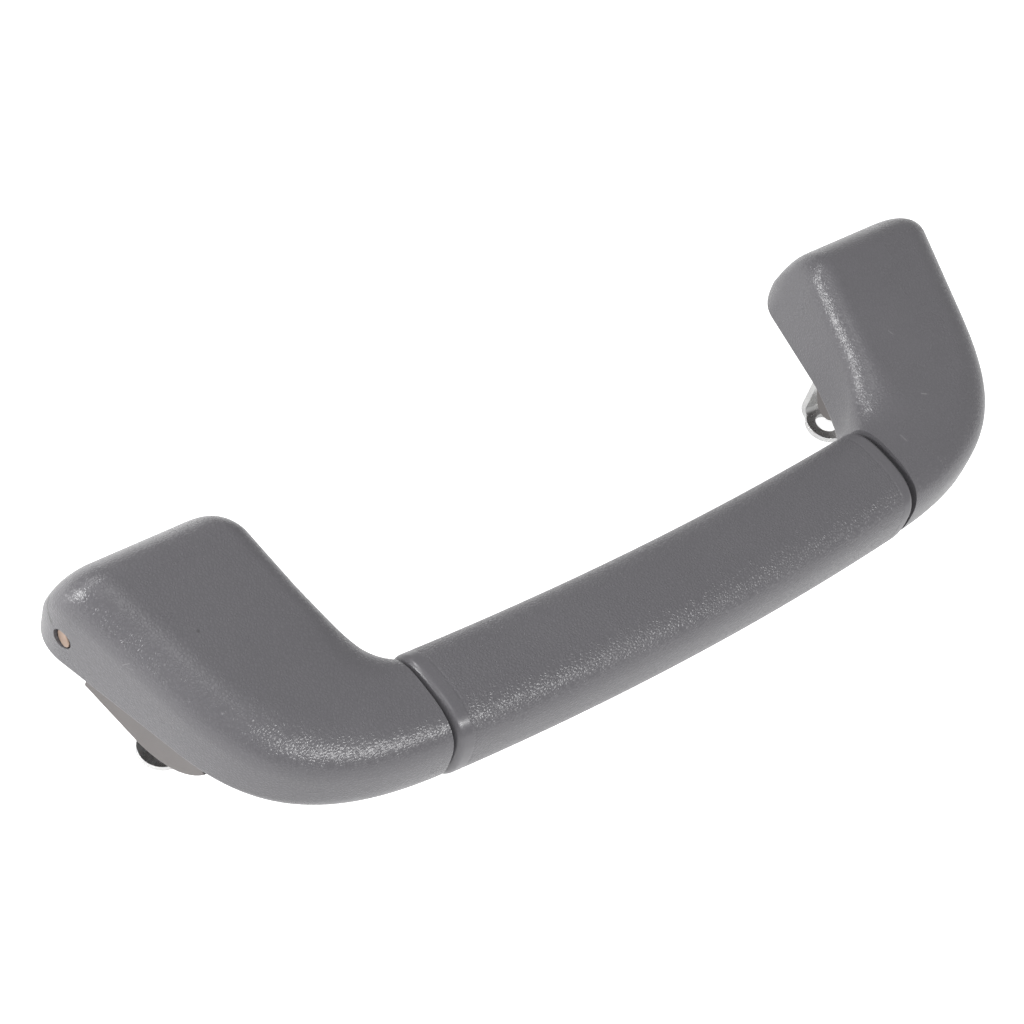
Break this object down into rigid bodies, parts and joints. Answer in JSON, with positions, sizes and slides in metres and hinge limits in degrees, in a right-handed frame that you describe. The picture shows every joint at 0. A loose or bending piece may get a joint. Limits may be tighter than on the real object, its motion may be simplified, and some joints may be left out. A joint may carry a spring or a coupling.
{
  "type": "roof grab handle",
  "caption": "Sprung roof grab handle with a bowed soft-skinned grip between hollow moulded arms that hinge on roof-screwed brackets.",
  "frame": {"origin": "on the roof panel's plane, under the middle of the handle's outline", "axes": "+X along the handle, +Y from the grip to the hinge line, +Z from the roof panel towards the cabin"},
  "size_m": [0.2398, 0.0744, 0.057],
  "materials": {
    "handle_moulding": "fine grain, slightly worn edges",
    "sleeve_skin": "soft skin with a leather-like grain",
    "bracket_moulding": "as moulded",
    "zinc_steel": "bright zinc plate",
    "yellow_zinc": "yellow zinc plate",
    "spring_steel": "drawn wire",
    "white_acetal": "as moulded",
    "damper_black": "as moulded",
    "stop_rubber": "matt"
  },
  "bodies": {
    "bracket_left": {"bracket_body_left": "bracket_moulding", "screw_strap_left": "zinc_steel"},
    "handle": {"handle_frame": "handle_moulding", "grip_sleeve": "sleeve_skin", "hinge_pin_left": "yellow_zinc", "hinge_pin_right": "yellow_zinc", "spring_bush_left": "white_acetal", "spring_bush_right": "white_acetal", "torsion_spring_left": "spring_steel", "torsion_spring_right": "spring_steel", "stop_pad_left": "stop_rubber", "stop_pad_right": "stop_rubber", "pin_spacer_left": "white_acetal", "damper_housing_right": "damper_black"},
    "bracket_right": {"bracket_body_right": "bracket_moulding", "screw_strap_right": "zinc_steel", "damper_rotor_right": "white_acetal"}
  },
  "joints": [
    {"name": "handle_swing", "type": "hinge", "parent": "bracket_left", "child": "handle", "pos_m": [-0.0986, 0.02505, 0.0407], "axis": [-1, 0, 0], "range_deg": [0, 80], "stiffness_Nm_per_rad": 0.05, "springref_deg": -68.75, "deforming": ["torsion_spring_left"]},
    {"name": "right_bracket_swing", "type": "hinge", "parent": "handle", "child": "bracket_right", "pos_m": [0.0986, 0.02505, 0.0407], "axis": [-1, 0, 0], "range_deg": [-80, 0], "stiffness_Nm_per_rad": 0.05, "springref_deg": 68.75, "deforming": ["torsion_spring_right"]}
  ],
  "couplings": [
    {"joint": "right_bracket_swing", "follows": "handle_swing", "ratio": -1}
  ]
}
